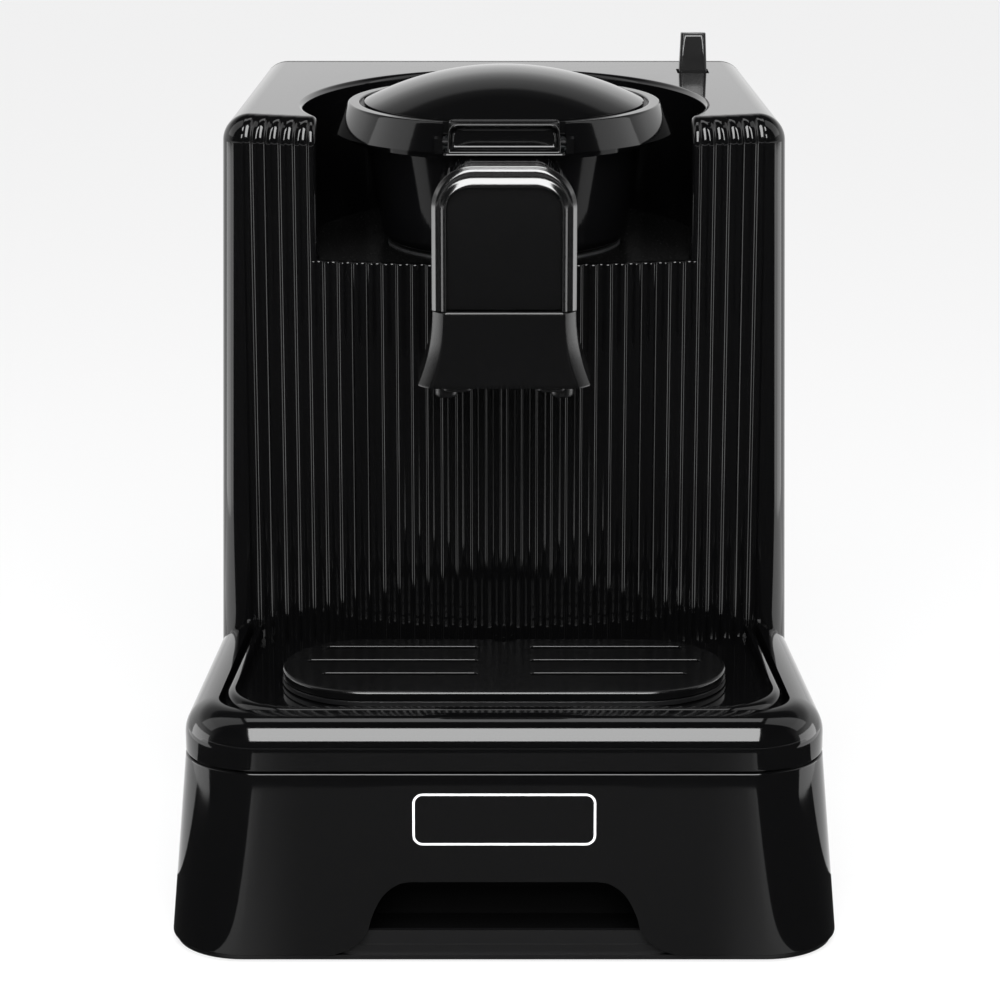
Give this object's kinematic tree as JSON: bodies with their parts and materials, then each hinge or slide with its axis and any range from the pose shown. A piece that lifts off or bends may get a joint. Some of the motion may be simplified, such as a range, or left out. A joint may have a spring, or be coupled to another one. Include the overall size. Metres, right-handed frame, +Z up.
{
  "type": "electric coffee maker",
  "caption": "Electric turkish coffee maker: fluted tower with a lift-out brewing pot, hinged domed lid and twin-nozzle spout over a drip tray and slotted cup platform.",
  "frame": {"origin": "on the table, under the middle of the footprint", "axes": "+Z up, -Y towards the user (front), +X to the right seen from the front"},
  "size_m": [0.2388, 0.272, 0.2986],
  "materials": {
    "gloss_black": "high gloss black moulded ABS",
    "satin_black": "satin black moulding",
    "panel_satin": "fine satin black panel",
    "rubber_black": "matt black rubber",
    "silicone_grey": "grey food-grade silicone",
    "steel": "brushed stainless steel",
    "heater_aluminium": "cast and machined aluminium",
    "board_green": "glass-epoxy board with green solder mask",
    "nylon_white": "natural nylon",
    "transformer_core": "varnished steel laminations and winding tape",
    "relay_blue": "blue polyester moulding"
  },
  "bodies": {
    "housing": {"base_shell": "gloss_black", "base_plate": "satin_black", "feet": "rubber_black", "base_screws": "steel", "grip_pocket": "satin_black", "cord_gland": "rubber_black", "deck": "gloss_black", "tower_shell": "gloss_black", "cover_posts": "satin_black", "fluted_front": "gloss_black", "pot_shelf": "satin_black", "rear_cover": "satin_black", "rear_screws": "steel", "heater_plate": "heater_aluminium", "heater_element": "steel", "heater_clamp": "steel", "thermostat": "steel", "thermal_fuse": "steel", "lever_pin": "steel", "lever_bracket": "satin_black", "lever_switch": "satin_black", "control_board": "board_green", "board_standoffs": "nylon_white", "transformer": "transformer_core", "relay": "relay_blue", "capacitors": "satin_black", "heat_sink": "heater_aluminium", "buzzer": "satin_black", "terminal_block": "relay_blue"},
    "tray": {"drip_tray": "satin_black"},
    "platform": {"cup_platform": "satin_black"},
    "pot": {"pot_body": "gloss_black", "pot_hinge": "steel", "lid_hinge_pin": "steel", "spout_housing": "gloss_black", "spout_panel": "panel_satin", "spout_trim": "gloss_black", "spout_head": "panel_satin", "nozzles": "satin_black", "pour_duct": "silicone_grey"},
    "lid": {"lid_ring": "gloss_black", "lid_dome": "gloss_black", "lid_seal": "silicone_grey", "latch_pin": "steel"},
    "latch": {"latch_tab": "gloss_black"},
    "lever": {"start_lever": "gloss_black"}
  },
  "joints": [
    {"name": "pot_lift", "type": "slide", "parent": "housing", "child": "pot", "axis": [0, 0, 1], "range_m": [0, 0.11]},
    {"name": "lid_hinge", "type": "hinge", "parent": "pot", "child": "lid", "pos_m": [0, 0.0841, 0.2775], "axis": [-1, 0, 0], "range_deg": [0, 78]},
    {"name": "latch_rock", "type": "hinge", "parent": "lid", "child": "latch", "pos_m": [0, -0.0434, 0.278], "axis": [1, 0, 0], "range_deg": [-10, 0], "stiffness_Nm_per_rad": 0.03},
    {"name": "start_lever_rock", "type": "hinge", "parent": "housing", "child": "lever", "pos_m": [0.0758, 0.1045, 0.2743], "axis": [1, 0, 0], "range_deg": [0, 8], "stiffness_Nm_per_rad": 0.05},
    {"name": "tray_lift", "type": "slide", "parent": "housing", "child": "tray", "axis": [0, 0, 1], "range_m": [0, 0.045]},
    {"name": "platform_lift", "type": "slide", "parent": "tray", "child": "platform", "axis": [0, 0, 1], "range_m": [0, 0.04]}
  ]
}
